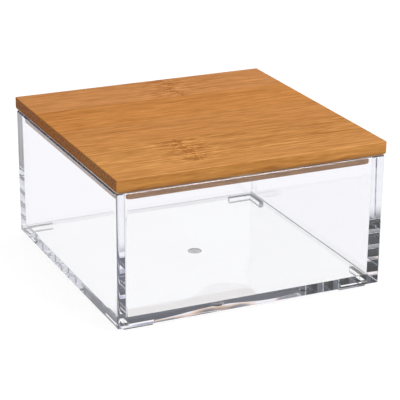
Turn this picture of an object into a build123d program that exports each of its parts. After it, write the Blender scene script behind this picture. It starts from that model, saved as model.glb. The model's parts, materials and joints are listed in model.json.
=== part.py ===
from build123d import *
from math import floor, radians, tan
import os

# Square clear-plastic storage box with a lift-off lid of laminated bamboo.
# Frame: origin on the surface the box stands on, under the middle of the box. X runs left to right
# along the front, Y from front to back, Z up. Lengths are in millimetres, angles in degrees.

# Lid, upper ply: the visible board
LID_SIDE = 120.0
LID_PLY = 6.0
LID_CORNER_RADIUS = 0.8
LID_TOP_ROUND = 0.4
LID_EASE_WIDTH = 1.2
LID_EASE_HEIGHT = 2.2

# Lid, lower ply: the plug that drops into the mouth of the tub
PLUG_PLY = 4.0
PLUG_CLEARANCE = 0.5
PLUG_CORNER_RADIUS = 3.0
PLUG_EDGE_ROUND = 0.4

# Bamboo strips, edge-glued, running along X; the first seam is counted from the front edge of the lid
STRIP_WIDTH = 27.7
FIRST_LID_SEAM = 9.2
NARROWEST_STRIP = 3.0

# Tub: walls and base, drafted so that the moulding leaves its tool
LID_OVERHANG = 0.3
TUB_HEIGHT = 57.0
RIM_WALL = 4.4
OUTER_DRAFT = 0.2
INNER_DRAFT = 0.3
OUTER_CORNER_RADIUS = 0.9
INNER_CORNER_RADIUS = 0.8
BASE_THICKNESS = 3.4
FLOOR_FILLET = 0.3
BOTTOM_ROUND = 0.3
RIM_ROUND = 0.7

# Feet: L-shaped ridges, moulded under the corners of the base
FOOT_HEIGHT = 2.5
FOOT_LEG = 13.0
FOOT_WIDTH = 2.2
FOOT_INSET = 4.0
FOOT_CORNER_RADIUS = 0.6
FOOT_EDGE_ROUND = 0.3

# Gate mark: a shallow round well under the base, with the broken-off stub in it
GATE_DIAMETER = 6.0
GATE_DEPTH = 0.5
STUB_DIAMETER = 2.0
STUB_HEIGHT = 0.35

# Heights and sides that follow from the sizes above
underside_z = FOOT_HEIGHT
floor_z = underside_z + BASE_THICKNESS
rim_z = underside_z + TUB_HEIGHT
lid_top_z = rim_z + LID_PLY
plug_bottom_z = rim_z - PLUG_PLY

rim_side = LID_SIDE - 2 * LID_OVERHANG
base_side = rim_side - 2 * TUB_HEIGHT * tan(radians(OUTER_DRAFT))
mouth_side = rim_side - 2 * RIM_WALL
floor_side = mouth_side - 2 * (rim_z - floor_z) * tan(radians(INNER_DRAFT))
plug_side = mouth_side - 2 * PLUG_CLEARANCE

# One seam of each ply: the lower ply has a strip centred under the lid, so its seams miss the upper ones
lid_seam_y = FIRST_LID_SEAM - LID_SIDE / 2
plug_seam_y = STRIP_WIDTH / 2


def edges_at(shape, height):
    """The edges of a shape that lie flat at one height."""
    return shape.edges().filter_by_position(Axis.Z, height, height)


def tapered_block(lower_side, lower_z, upper_z, radius, draft):
    """A square block with rounded upright corners that widens upwards by the draft angle."""
    outline = Pos(0, 0, lower_z) * RectangleRounded(lower_side, lower_side, radius)
    return extrude(outline, amount=upper_z - lower_z, taper=-draft)


def foot():
    """One foot, the corner of its L towards the front left corner of the tub."""
    along_front = [(0, 0), (FOOT_LEG, 0), (FOOT_LEG, FOOT_WIDTH)]
    along_side = [(FOOT_WIDTH, FOOT_WIDTH), (FOOT_WIDTH, FOOT_LEG), (0, FOOT_LEG)]
    outline = make_face(Polyline(*along_front, *along_side, close=True))
    outline = fillet(outline.vertices(), FOOT_CORNER_RADIUS)
    corner = FOOT_INSET - base_side / 2
    solid = extrude(Pos(corner, corner, 0) * outline, amount=FOOT_HEIGHT)
    return fillet(edges_at(solid, 0), FOOT_EDGE_ROUND)


def gate_well():
    """The round well under the middle of the base, less the stub that stands in it."""
    well = extrude(Pos(0, 0, underside_z) * Circle(GATE_DIAMETER / 2), amount=GATE_DEPTH)
    stub_z = underside_z + GATE_DEPTH - STUB_HEIGHT
    stub = extrude(Pos(0, 0, stub_z) * Circle(STUB_DIAMETER / 2), amount=STUB_HEIGHT)
    return well - stub


def tub():
    """Walls, base, feet and gate mark, moulded in one piece."""
    body = tapered_block(base_side, underside_z, rim_z, OUTER_CORNER_RADIUS, OUTER_DRAFT)
    body = fillet(edges_at(body, underside_z), BOTTOM_ROUND)
    cavity = tapered_block(floor_side, floor_z, rim_z, INNER_CORNER_RADIUS, INNER_DRAFT)
    cavity = fillet(edges_at(cavity, floor_z), FLOOR_FILLET)
    body -= cavity
    body = fillet(edges_at(body, rim_z), RIM_ROUND)
    for quarter in range(4):
        body += Rot(0, 0, 90 * quarter) * foot()
    return body - gate_well()


def lid_section():
    """Section of the upper ply: a crisp upper edge, and a lower edge eased by an arc that starts upright."""
    side = LID_SIDE / 2
    flat = side - LID_EASE_WIDTH
    shoulder_z = rim_z + LID_EASE_HEIGHT
    outline = Polyline((flat, rim_z), (0, rim_z), (0, lid_top_z), (side, lid_top_z), (side, shoulder_z))
    outline += TangentArc((side, shoulder_z), (flat, rim_z), tangent=(0, -1))
    half = make_face(outline)
    upper_corner = half.vertices().group_by(Axis.Y)[-1].sort_by(Axis.X)[-1]
    half = fillet(upper_corner, LID_TOP_ROUND)
    return half + mirror(half, Plane.YZ)


def lid_board():
    """The whole upper ply: the section run along both pairs of sides, with the upright corners rounded."""
    bar = extrude(Plane.XZ * lid_section(), amount=LID_SIDE / 2, both=True)
    outline = Pos(0, 0, rim_z) * RectangleRounded(LID_SIDE, LID_SIDE, LID_CORNER_RADIUS)
    return extrude(outline, amount=LID_PLY) & bar & Rot(0, 0, 90) * bar


def plug_board():
    """The whole lower ply, glued flat under the upper one."""
    outline = Pos(0, 0, plug_bottom_z) * RectangleRounded(plug_side, plug_side, PLUG_CORNER_RADIUS)
    board = extrude(outline, amount=PLUG_PLY)
    return fillet(edges_at(board, plug_bottom_z), PLUG_EDGE_ROUND)


def seam_positions(one_seam, board_side):
    """Y of both edges of a board and of the seams between them, one strip apart, from front to back.

    A seam that would leave a strip narrower than the narrowest one worth gluing is left out.
    """
    reach = board_side / 2 - NARROWEST_STRIP
    seam = one_seam - floor((one_seam + reach) / STRIP_WIDTH) * STRIP_WIDTH
    seams = []
    while seam < reach:
        seams.append(seam)
        seam += STRIP_WIDTH
    return [-board_side / 2] + seams + [board_side / 2]


def cut_strips(board, one_seam, board_side):
    """A board sawn along its seams, as a list of strips from front to back."""
    seams = seam_positions(one_seam, board_side)
    box = board.bounding_box()
    strips = []
    for front, back in zip(seams, seams[1:]):
        slab_size = (box.size.X, back - front, box.size.Z)
        slab_place = Pos(0, (front + back) / 2, box.center().Z)
        strips.append(board & slab_place * Box(*slab_size))
    return strips


def write_part(shape, name):
    """Write one piece as its own file."""
    shape.label = name
    export_step(shape, os.path.join("parts", name + ".step"))


os.makedirs("parts", exist_ok=True)
write_part(tub(), "clear_tub")
for number, strip in enumerate(cut_strips(lid_board(), lid_seam_y, LID_SIDE), start=1):
    write_part(strip, f"lid_strip_{number}")
for number, strip in enumerate(cut_strips(plug_board(), plug_seam_y, plug_side), start=1):
    write_part(strip, f"plug_strip_{number}")

print(f"floor {floor_side:.2f} square at z {floor_z:.2f}, mouth {mouth_side:.2f} square at z {rim_z:.2f}")
print(f"plug {plug_side:.2f} square, down to z {plug_bottom_z:.2f}; lid top at z {lid_top_z:.2f}")
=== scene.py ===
import json
import math

import bpy
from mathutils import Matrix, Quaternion, Vector


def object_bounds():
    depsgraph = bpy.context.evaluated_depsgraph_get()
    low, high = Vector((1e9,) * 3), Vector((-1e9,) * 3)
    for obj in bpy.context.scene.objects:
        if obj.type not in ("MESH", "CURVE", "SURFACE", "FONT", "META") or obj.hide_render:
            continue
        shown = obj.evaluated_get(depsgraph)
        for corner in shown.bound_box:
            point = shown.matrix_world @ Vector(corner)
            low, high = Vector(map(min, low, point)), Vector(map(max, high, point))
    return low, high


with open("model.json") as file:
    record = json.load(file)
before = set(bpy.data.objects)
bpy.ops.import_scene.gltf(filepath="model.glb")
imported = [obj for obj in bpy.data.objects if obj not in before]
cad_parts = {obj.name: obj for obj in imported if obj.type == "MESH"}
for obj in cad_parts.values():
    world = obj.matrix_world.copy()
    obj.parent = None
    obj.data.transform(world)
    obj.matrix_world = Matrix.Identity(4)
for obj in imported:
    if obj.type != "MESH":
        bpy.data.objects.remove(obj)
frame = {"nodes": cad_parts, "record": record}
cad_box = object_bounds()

# Looks of a clear moulded box with a lift-off bamboo lid. Lengths are in metres and angles in degrees,
# in the frame of the solids: X left to right along the front, Y front to back, Z up from the table.
# The scale of a pattern is how often it repeats in a metre along each axis. The two numbers of a fade,
# such as GLINTS_END or HAZE_LEVELS, are where it starts and where it ends.

# Camera, fitted to the straight edges of the box in the photograph
CAMERA_AZIMUTH = -24.844
CAMERA_ELEVATION = 20.422
CAMERA_ROLL = 0.48
CAMERA_DISTANCE = 0.697
CAMERA_TARGET = Vector((-0.0008, -0.0087, 0.0313))
CAMERA_LENS_MM = 145.88
SENSOR_MM = 36.0

WHITE = (1.0, 1.0, 1.0, 1.0)
BLACK = (0.0, 0.0, 0.0, 1.0)

# Middle of a noise, and of the tones between the darkest and the palest fibre
MIDDLE = 0.5

# Table, and the nearly white screen that stands around it
FLOOR_SIDE = 8.0
FLOOR_DROP = 0.0001
FLOOR_COLOUR = (0.22, 0.22, 0.22, 1.0)
FLOOR_GLOW = 0.88
FLOOR_COLOUR_THROUGH_PLASTIC = (0.04, 0.04, 0.04, 1.0)
SCREEN = (0.935, 0.925, 0.955, 1.0)

# Table as a ray sees it that ran along inside the plastic: painted shade near the box, and painted glints in
# the shade
SHADE_BEHIND = (0.085, 0.09, 0.105, 1.0)
SHADE_BESIDE = (0.36, 0.36, 0.37, 1.0)
SHADE_REACH = 0.024
GLINTS = (52, 150, 0)
GLINTS_END = (0.022, 0.036)
BASE_GLINTS_END = (0.048, 0.058)
GLINTS_FROM = (0.006, 0.0085)
GLINTS_NEAR = 0.72
GLINTS_REACH = (0.011, 0.018)
FRINGE_LEVELS = (0.34, 0.42)
GLINT_LEVELS = (0.42, 0.50)
COOL_FRINGE = (0.40, 0.42, 0.62, 1.0)
WARM_FRINGE = (0.80, 0.50, 0.32, 1.0)
COOL_TO_WARM = (-0.014, -0.010)

# Room beyond the table. Heights and turns are parts of a direction of length 1.
COOL_BAND = (0.42, 0.42, 0.85, 1.0)
BACK_RIGHT_ROOM = (0.125, 0.13, 0.15, 1.0)
BACK_LEFT_ROOM = (0.035, 0.04, 0.042, 1.0)
FRONT_ROOM = (0.75, 0.76, 0.80, 1.0)
HORIZON_TOP = 0.08
COOL_BAND_AT = 0.16
ROOM_FROM = 0.24
FRONT_TO_BACK = (-0.3, 0.3)
LEFT_TO_RIGHT = (-0.2, 0.2)
FILL_LIGHT = (0.20, 0.20, 0.20, 1.0)

# Lamps: name, place, aim, width and depth, and watts
LAMPS = (
    ("top_softbox", (0.30, -0.05, 1.1), (0, 0, 0.06), (0.9, 0.9), 7.7),
    ("front_softbox", (0.47, -1.0, 0.55), (0, 0, 0.04), (0.25, 0.6), 8.0),
    ("left_softbox", (-1.1, -0.35, 0.5), (0, 0, 0.04), (0.6, 0.6), 4.0),
)

# Bounces of a ray: it has passed a wall of the box, or has run along inside the plastic
THROUGH_A_WALL = 2.5
STRAIGHT_THROUGH = 7.5
SCREEN_UP_TO = 8.5
ALONG_THE_BASE = 12.0
HALF_A_BOUNCE = 0.5
ALONG_A_WALL = 13.0
ALONG_TWO_WALLS = 18.0
DIMMED_ALONG_PLASTIC = 0.30
MOST_BOUNCES = 40

# Clear plastic: a face counts as a side where the upright part of its normal is below SIDE_BELOW
CLEAR = (0.99, 0.993, 1.0, 1.0)
PLASTIC_IOR = 1.58
PLASTIC_TINT = (0.80, 0.82, 0.92, 1.0)
PLASTIC_DENSITY = 2.0
SIDE_BELOW = 0.5
HAZE = (90, 90, 90)
HAZE_LEVELS = (0.35, 0.8)
HAZE_ROUGHNESS = 0.01
RIM_FROM = 0.0588
RIM_ROUGHNESS = 0.12

# Waves in the underside of the base
WAVES = (24, 24, 0)
WAVES_START = (0.006, 0.0, 0.0)
WAVE_HEIGHT = 0.00055
WAVES_BELOW = 0.0045

# Gate mark under the base, coloured with painted shade: speckled grey, with a nearly black rim on the sides
# of its well
GATE_RADIUS = 0.0031
GATE_TOP = 0.0033
GATE_SPECKLE = (1400, 1400, 0)
GATE_SPECKLE_LEVELS = (0.40, 0.62)
GATE_SHADE_DARK = (0.04, 0.04, 0.045, 1.0)
GATE_SHADE_PALE = (0.42, 0.42, 0.43, 1.0)
GATE_RIM_SHADE = (0.01, 0.01, 0.012, 1.0)
GATE_ROUGHNESS = 0.15

# Soles of the feet: painted shade, dark with paler patches
SOLE_TOP = 0.0003
SOLE_SHADE_PATCHES = (150, 150, 0)
SOLE_SHADE_PATCH_LEVELS = (0.62, 0.80)
SOLE_SHADE_DARK = (0.0004, 0.0007, 0.0006, 1.0)
SOLE_SHADE_PALE = (0.25, 0.26, 0.26, 1.0)
SOLE_ROUGHNESS = 0.04

# Bamboo: how far the darkest and the palest fibres lie from a strip's own tone, how far the pattern moves
# on from strip to strip, and the finish
DARK_FIBRE = (0.60, 0.44, 0.10)
PALE_FIBRE = (1.40, 1.50, 1.22)
STRIP_STEP = (0.37, 0.11, 0.23)
STREAK_LEVELS = (0.2, 0.8)
STREAK_ROUGHNESS = (0.55, 0.42)
BAMBOO_SPECULAR = 0.25
RELIEF_STRENGTH = 0.12
RELIEF_HEIGHT = 0.0002

# Layers of grain: scale along and across the fibres, and strength, which is greater on some strips
GRAIN = (
    ((5, 26), 0.45),
    ((12, 420), 0.45),
    ((36, 720), 0.70),
    ((90, 1100), 0.90),
    ((240, 2600), 0.50),
)
STREAKIER = {"lid_strip_2": 1.3}
BEND = (22, 70, 70)
BEND_REACH = 0.0008
DASHES = (62, 640, 640)
DASH_LEVELS = (0.56, 0.72)
DASH_DARKNESS = 0.17

# End grain at both ends of a strip
END_GRAIN_DARK = (0.50, 0.45, 0.40)
END_GRAIN_PALE = (1.00, 0.93, 0.95)
PORES = (0, 850, 850)
PORE_LEVELS = (0.36, 0.64)
END_FACING = (0.55, 0.85)
END_ROUGHER = 0.3

# Knuckles of the stem: strip, place along it, and strength
KNUCKLES = {
    "lid_strip_2": (-0.0216, 1.1),
    "lid_strip_5": (0.0102, 0.95),
    "plug_strip_2": (0.031, 0.8),
    "plug_strip_4": (-0.017, 0.6),
}
SCAR_WANDER = (0, 90, 90)
SCAR_WANDER_REACH = 0.014
SCAR_REACH = 0.0040
SCAR_DARKNESS = 0.22
SPECKLE = (650, 650, 650)
SPECKLE_REACH = 0.006
SPECKLE_STRENGTH = 2.6
FLECKS = (170, 640, 640)
FLECKS_MIDDLE = 0.52
FLECKS_REACH = (0.002, 0.024)
FLECKS_STRENGTH = 1.9

TONES = {material["slot"]: material["base_color"] for material in frame["record"]["materials"]}
SLOTS = {piece["node"]: piece["material_slot"] for piece in frame["record"]["subparts"]}


class Graph:
    """A shader node tree under construction. An input takes a socket, a number, a colour or a vector."""

    def __init__(self, owner):
        owner.use_nodes = True
        self.tree = owner.node_tree
        self.tree.nodes.clear()

    def feed(self, socket, value):
        if isinstance(value, bpy.types.NodeSocket):
            self.tree.links.new(value, socket)
        else:
            socket.default_value = value

    def node(self, kind, inputs=None, **settings):
        made = self.tree.nodes.new(kind)
        for name, value in settings.items():
            setattr(made, name, value)
        for name, value in (inputs or {}).items():
            self.feed(made.inputs[name], value)
        return made

    def math(self, operation, first, second=0.0, clamp=False):
        made = self.node("ShaderNodeMath", {0: first, 1: second}, operation=operation, use_clamp=clamp)
        return made.outputs[0]

    def product(self, *factors):
        total = factors[0]
        for factor in factors[1:]:
            total = self.math("MULTIPLY", total, factor)
        return total

    def is_near(self, value, target, margin):
        """1 where a value lies within a margin of the target, and 0 elsewhere."""
        inputs = {0: value, 1: target, 2: margin}
        return self.node("ShaderNodeMath", inputs, operation="COMPARE").outputs[0]

    def vector_math(self, operation, first, second):
        return self.node("ShaderNodeVectorMath", {0: first, 1: second}, operation=operation).outputs[0]

    def mix(self, factor, first, second):
        made = self.node("ShaderNodeMix", {"Factor": factor}, data_type="RGBA")
        self.feed(made.inputs[6], first)
        self.feed(made.inputs[7], second)
        return made.outputs[2]

    def place(self):
        """The place in the frame of the solids."""
        return self.node("ShaderNodeTexCoord").outputs["Object"]

    def split(self, vector):
        """The three parts of a vector."""
        return self.node("ShaderNodeSeparateXYZ", {0: vector}).outputs

    def spread(self, value, low, high, to_low=0.0, to_high=1.0, smooth=False):
        """A value mapped from one range to another and held inside it."""
        ends = {"Value": value, 1: low, 2: high, 3: to_low, 4: to_high}
        kind = "SMOOTHSTEP" if smooth else "LINEAR"
        return self.node("ShaderNodeMapRange", ends, interpolation_type=kind).outputs[0]

    def noise(self, place, scale, detail=2.0, roughness=0.5):
        """Smooth noise from 0 to 1, with its own scale along each axis."""
        stretched = self.vector_math("MULTIPLY", place, scale)
        inputs = {"Vector": stretched, "Scale": 1.0, "Detail": detail, "Roughness": roughness}
        return self.node("ShaderNodeTexNoise", inputs).outputs["Fac"]


def place_camera():
    azimuth = math.radians(CAMERA_AZIMUTH)
    elevation = math.radians(CAMERA_ELEVATION)
    back = Vector((
        math.sin(azimuth) * math.cos(elevation),
        -math.cos(azimuth) * math.cos(elevation),
        math.sin(elevation),
    ))
    data = bpy.data.cameras.new("camera")
    data.sensor_width = SENSOR_MM
    data.lens = CAMERA_LENS_MM
    camera = bpy.data.objects.new("camera", data)
    camera.location = CAMERA_TARGET + CAMERA_DISTANCE * back
    camera.rotation_mode = "QUATERNION"
    roll = Quaternion((0, 0, 1), math.radians(CAMERA_ROLL))
    camera.rotation_quaternion = (-back).to_track_quat("-Z", "Y") @ roll
    bpy.context.scene.collection.objects.link(camera)
    bpy.context.scene.camera = camera


def table_along_plastic(graph, depth):
    """Colour of the table for a ray that ran along inside the plastic.

    It has painted shade up to a little way beyond the back and the right side of the box. In the painted
    shade lie painted glints, standing for those that the box throws, white with a fringe that is cool at the
    left and warm at the right. They reach further right for a ray that ran along the base. A ray that ran
    along two walls sees it dimmer.
    """
    place = graph.place()
    x, y, _ = graph.split(place)
    right, back, _ = cad_box[1]
    beyond = graph.math("MAXIMUM", graph.math("SUBTRACT", x, right), graph.math("SUBTRACT", y, back))

    along_base = graph.is_near(depth, ALONG_THE_BASE, HALF_A_BOUNCE)
    along_base = graph.product(along_base, graph.spread(x, *BASE_GLINTS_END, 1.0, 0.0))
    sideways = graph.math("MAXIMUM", along_base, graph.spread(x, *GLINTS_END, 1.0, 0.0))
    nearest = graph.spread(beyond, *GLINTS_FROM, GLINTS_NEAR, 1.0)
    farthest = graph.spread(beyond, *GLINTS_REACH, 1.0, 0.0)
    glint = graph.product(graph.noise(place, GLINTS, detail=1.0), sideways, nearest, farthest)

    # Painted shade near the box, with painted glints in it
    fringe = graph.mix(graph.spread(x, *COOL_TO_WARM), COOL_FRINGE, WARM_FRINGE)
    shade = graph.mix(graph.math("GREATER_THAN", x, right), SHADE_BEHIND, SHADE_BESIDE)
    shade = graph.mix(graph.spread(glint, *FRINGE_LEVELS), shade, fringe)
    shade = graph.mix(graph.spread(glint, *GLINT_LEVELS), shade, SCREEN)
    table = graph.mix(graph.spread(beyond, 0.0, SHADE_REACH, smooth=True), shade, SCREEN)
    dimming = graph.spread(depth, ALONG_A_WALL, ALONG_TWO_WALLS, 0.0, 1.0 - DIMMED_ALONG_PLASTIC)
    return graph.mix(dimming, table, BLACK)


def table_through_plastic(graph, depth):
    """Colour of the table for a ray off a gloss or through the plastic.

    A ray that went straight through sees white under the box, painted a little brighter than the screen's
    colour around it. One that ran along inside the plastic sees painted shade and painted glints.
    """
    x, y, _ = graph.split(graph.place())
    from_middle = graph.math("MAXIMUM", graph.math("ABSOLUTE", x), graph.math("ABSOLUTE", y))
    is_outside = graph.math("GREATER_THAN", from_middle, cad_box[1][0])
    # Painted a little brighter under the box than around it
    straight = graph.mix(is_outside, WHITE, SCREEN)
    ran_along = graph.math("GREATER_THAN", depth, STRAIGHT_THROUGH)
    return graph.mix(ran_along, straight, table_along_plastic(graph, depth))


def white_table():
    """Grey paint that glows: nearly white for the camera, and its own colours for gloss and plastic."""
    material = bpy.data.materials.new("white_table")
    graph = Graph(material)
    path = graph.node("ShaderNodeLightPath").outputs
    through = graph.math("MAXIMUM", path["Is Glossy Ray"], path["Is Transmission Ray"])
    glow = graph.math("MAXIMUM", through, graph.product(path["Is Camera Ray"], FLOOR_GLOW))
    glow_colour = graph.mix(through, WHITE, table_through_plastic(graph, path["Ray Depth"]))
    colour = graph.mix(through, FLOOR_COLOUR, FLOOR_COLOUR_THROUGH_PLASTIC)
    paint = graph.node("ShaderNodeBsdfDiffuse", {"Color": colour})
    lift = graph.node("ShaderNodeEmission", {"Color": glow_colour, "Strength": glow})
    both = graph.node("ShaderNodeAddShader", {0: paint.outputs[0], 1: lift.outputs[0]})
    graph.node("ShaderNodeOutputMaterial", {"Surface": both.outputs[0]})
    return material


def make_floor():
    """A wide square table, just below the feet."""
    half = FLOOR_SIDE / 2
    corners = [(-half, -half), (half, -half), (half, half), (-half, half)]
    mesh = bpy.data.meshes.new("floor")
    mesh.from_pydata([(x, y, -FLOOR_DROP) for x, y in corners], [], [(0, 1, 2, 3)])
    mesh.materials.append(white_table())
    floor = bpy.data.objects.new("floor", mesh)
    bpy.context.scene.collection.objects.link(floor)


def make_world():
    """A white screen behind clear walls, an even fill, and a room for gloss and for the plastic's edges.

    The room is bright in front of the box and dark behind it, over a cool band and a white horizon.
    The camera itself sees plain white.
    """
    world = bpy.data.worlds.new("studio")
    bpy.context.scene.world = world
    graph = Graph(world)
    path = graph.node("ShaderNodeLightPath").outputs
    sideways, inwards, height = graph.split(graph.node("ShaderNodeTexCoord").outputs["Generated"])
    back_room = graph.mix(graph.spread(sideways, *LEFT_TO_RIGHT), BACK_LEFT_ROOM, BACK_RIGHT_ROOM)
    room = graph.mix(graph.spread(inwards, *FRONT_TO_BACK, smooth=True), FRONT_ROOM, back_room)
    cooling = graph.spread(height, HORIZON_TOP, COOL_BAND_AT, smooth=True)
    leaving_table = graph.spread(height, COOL_BAND_AT, ROOM_FROM, smooth=True)
    room = graph.mix(leaving_table, graph.mix(cooling, WHITE, COOL_BAND), room)
    in_box = graph.math("GREATER_THAN", path["Ray Depth"], THROUGH_A_WALL)
    straight = graph.math("LESS_THAN", path["Ray Depth"], SCREEN_UP_TO)
    seen = graph.mix(graph.product(in_box, straight), room, SCREEN)
    lit = graph.mix(path["Is Diffuse Ray"], seen, FILL_LIGHT)
    shade = graph.mix(path["Is Camera Ray"], lit, WHITE)
    background = graph.node("ShaderNodeBackground", {"Color": shade, "Strength": 1.0})
    graph.node("ShaderNodeOutputWorld", {"Surface": background.outputs[0]})


def add_softbox(name, place, aim, size, watts):
    """A rectangular lamp, hidden from rays through the plastic."""
    data = bpy.data.lights.new(name, "AREA")
    data.shape = "RECTANGLE"
    data.size, data.size_y = size
    data.energy = watts
    lamp = bpy.data.objects.new(name, data)
    lamp.location = place
    lamp.rotation_mode = "QUATERNION"
    lamp.rotation_quaternion = (Vector(aim) - Vector(place)).to_track_quat("-Z", "Y")
    lamp.visible_transmission = False
    bpy.context.scene.collection.objects.link(lamp)


def gate_mark(graph, place, is_side):
    """Where the gate mark is, and its colour: painted shade, speckled, with a dark rim."""
    x, y, z = graph.split(place)
    squares = [graph.math("POWER", part, 2.0) for part in (x, y)]
    from_axis = graph.math("SQRT", graph.math("ADD", *squares))
    is_gate = graph.math("LESS_THAN", from_axis, GATE_RADIUS)
    is_gate = graph.product(is_gate, graph.math("LESS_THAN", z, GATE_TOP))
    speckle = graph.spread(graph.noise(place, GATE_SPECKLE), *GATE_SPECKLE_LEVELS)
    # The gate's speckle and rim are painted shade
    colour = graph.mix(is_side, graph.mix(speckle, GATE_SHADE_DARK, GATE_SHADE_PALE), GATE_RIM_SHADE)
    return is_gate, colour


def soles(graph, place):
    """Where the soles of the feet are, and their colour: painted shade, dark with paler patches."""
    is_sole = graph.math("LESS_THAN", graph.split(place)[2], SOLE_TOP)
    shade_patches = graph.spread(graph.noise(place, SOLE_SHADE_PATCHES), *SOLE_SHADE_PATCH_LEVELS)
    # The sole's colour is painted shade, dark with paler patches
    return is_sole, graph.mix(shade_patches, SOLE_SHADE_DARK, SOLE_SHADE_PALE)


def underside_waves(graph, place, is_side):
    """Normals of the plastic, faintly wavy on the underside of the base."""
    waves = graph.noise(graph.vector_math("ADD", place, WAVES_START), WAVES, detail=0.0)
    is_low = graph.math("LESS_THAN", graph.split(place)[2], WAVES_BELOW)
    is_underside = graph.math("SUBTRACT", is_low, is_side, clamp=True)
    waves = graph.product(waves, is_underside)
    relief = graph.node("ShaderNodeBump", {"Height": waves, "Strength": 1.0, "Distance": WAVE_HEIGHT})
    return relief.outputs[0]


def clear_plastic():
    """Polished polystyrene, faintly tinted: a satin rim, a wavy underside, painted shade on a gate mark and
    the soles.
    """
    material = bpy.data.materials.new("clear_polystyrene")
    graph = Graph(material)
    place = graph.place()
    facing_up = graph.split(graph.node("ShaderNodeNewGeometry").outputs["True Normal"])[2]
    is_side = graph.math("LESS_THAN", graph.math("ABSOLUTE", facing_up), SIDE_BELOW)
    is_rim = graph.math("GREATER_THAN", graph.split(place)[2], RIM_FROM)
    is_gate, gate_painted_shade = gate_mark(graph, place, is_side)
    is_sole, sole_painted_shade = soles(graph, place)

    # The gate mark takes painted shade
    colour = graph.mix(is_gate, CLEAR, gate_painted_shade)
    # The soles take painted shade, dark with paler patches
    colour = graph.mix(is_sole, colour, sole_painted_shade)
    roughness = graph.spread(graph.noise(place, HAZE, detail=3.0), *HAZE_LEVELS, 0.0, HAZE_ROUGHNESS)
    for mask, level in ((is_gate, GATE_ROUGHNESS), (is_sole, SOLE_ROUGHNESS), (is_rim, RIM_ROUGHNESS)):
        roughness = graph.math("MAXIMUM", roughness, graph.product(mask, level))
    shader = graph.node("ShaderNodeBsdfPrincipled", {
        "Base Color": colour,
        "Roughness": roughness,
        "IOR": PLASTIC_IOR,
        "Transmission Weight": 1.0,
        "Normal": underside_waves(graph, place, is_side),
    }, distribution="GGX")
    tint = graph.node("ShaderNodeVolumeAbsorption", {"Color": PLASTIC_TINT, "Density": PLASTIC_DENSITY})
    graph.node("ShaderNodeOutputMaterial", {"Surface": shader.outputs[0], "Volume": tint.outputs[0]})
    return material


def shade_of(tone, change):
    """A tone multiplied channel by channel, as a colour."""
    return tuple(min(1.0, level * factor) for level, factor in zip(tone, change)) + (1.0,)


def knuckle(graph, place, along, place_along, strength):
    """How much paler or darker the fibres are around a knuckle: a speckled scar among short flecks."""
    wander = graph.math("SUBTRACT", graph.noise(place, SCAR_WANDER), MIDDLE)
    wander = graph.product(wander, SCAR_WANDER_REACH)
    from_scar = graph.math("SUBTRACT", graph.math("SUBTRACT", along, place_along), wander)
    distance = graph.math("ABSOLUTE", from_scar)
    scar = graph.spread(distance, 0.0, SCAR_REACH, SCAR_DARKNESS, 0.0, smooth=True)
    speckle = graph.math("SUBTRACT", graph.noise(place, SPECKLE, roughness=0.7), MIDDLE)
    near_scar = graph.spread(distance, 0.0, SPECKLE_REACH, SPECKLE_STRENGTH, 0.0, smooth=True)
    flecks = graph.math("SUBTRACT", graph.noise(place, FLECKS, roughness=0.6), FLECKS_MIDDLE)
    around_scar = graph.spread(distance, *FLECKS_REACH, FLECKS_STRENGTH, 0.0, smooth=True)
    marks = graph.math("ADD", graph.product(speckle, near_scar), graph.product(flecks, around_scar))
    return graph.product(graph.math("SUBTRACT", marks, scar), strength)


def fibre_streaks(graph, node, place, along):
    """How pale the fibres are: layers of grain along slightly bent fibres, dark dashes, and any knuckle."""
    bend = graph.math("SUBTRACT", graph.noise(place, BEND, detail=1.0), MIDDLE)
    bend = graph.product(bend, BEND_REACH)
    bent = graph.node("ShaderNodeCombineXYZ", {1: bend, 2: bend}).outputs[0]
    fibres = graph.vector_math("ADD", place, bent)
    streaks = MIDDLE
    for (lengthwise, across), strength in GRAIN:
        layer = graph.math("SUBTRACT", graph.noise(fibres, (lengthwise, across, across)), MIDDLE)
        layer = graph.product(layer, strength * STREAKIER.get(node, 1.0))
        streaks = graph.math("ADD", layer, streaks)
    dashes = graph.noise(fibres, DASHES, detail=1.0)
    streaks = graph.math("SUBTRACT", streaks, graph.spread(dashes, *DASH_LEVELS, 0.0, DASH_DARKNESS))
    if node in KNUCKLES:
        streaks = graph.math("ADD", streaks, knuckle(graph, place, along, *KNUCKLES[node]))
    return streaks


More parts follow.
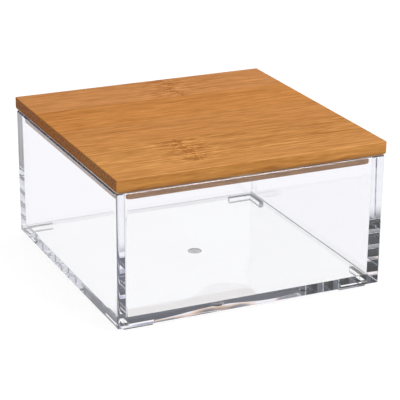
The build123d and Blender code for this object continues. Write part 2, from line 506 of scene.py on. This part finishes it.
def bamboo(node, count):
    """Lacquered bamboo: long fibres along X in the strip's own tone, dark end grain, and any knuckle."""
    tone = TONES[SLOTS[node]]
    material = bpy.data.materials.new("bamboo_" + node)
    graph = Graph(material)
    coordinates = graph.node("ShaderNodeTexCoord").outputs
    place = graph.vector_math("ADD", coordinates["Object"], [count * step for step in STRIP_STEP])
    along = graph.split(coordinates["Object"])[0]

    streaks = fibre_streaks(graph, node, place, along)
    face = graph.mix(streaks, shade_of(tone, DARK_FIBRE), shade_of(tone, PALE_FIBRE))
    pores = graph.spread(graph.noise(place, PORES, roughness=0.6), *PORE_LEVELS)
    cut_end = graph.mix(pores, shade_of(tone, END_GRAIN_DARK), shade_of(tone, END_GRAIN_PALE))
    facing = graph.math("ABSOLUTE", graph.split(coordinates["Normal"])[0])
    is_end = graph.spread(facing, *END_FACING, smooth=True)

    roughness = graph.spread(streaks, *STREAK_LEVELS, *STREAK_ROUGHNESS)
    roughness = graph.math("ADD", roughness, graph.product(is_end, END_ROUGHER))
    relief = graph.node("ShaderNodeBump", {
        "Height": streaks,
        "Strength": RELIEF_STRENGTH,
        "Distance": RELIEF_HEIGHT,
    })
    shader = graph.node("ShaderNodeBsdfPrincipled", {
        "Base Color": graph.mix(is_end, face, cut_end),
        "Roughness": roughness,
        "Specular IOR Level": BAMBOO_SPECULAR,
        "Normal": relief.outputs[0],
    })
    graph.node("ShaderNodeOutputMaterial", {"Surface": shader.outputs[0]})
    return material


def dress(node, material):
    """Give a node of the solids its only material."""
    mesh = frame["nodes"][node].data
    mesh.materials.clear()
    mesh.materials.append(material)


def set_render_paths():
    """Light makes many passes inside clear plastic before it leaves."""
    cycles = bpy.context.scene.cycles
    cycles.max_bounces = MOST_BOUNCES
    cycles.transmission_bounces = MOST_BOUNCES
    cycles.glossy_bounces = MOST_BOUNCES


bpy.context.scene.view_settings.view_transform = "Standard"
set_render_paths()
place_camera()
make_world()
make_floor()
for lamp in LAMPS:
    add_softbox(*lamp)

dress("clear_tub", clear_plastic())
for count, strip in enumerate(frame["record"]["behaviour"]["bodies"]["lid"]):
    dress(strip, bamboo(strip, count))
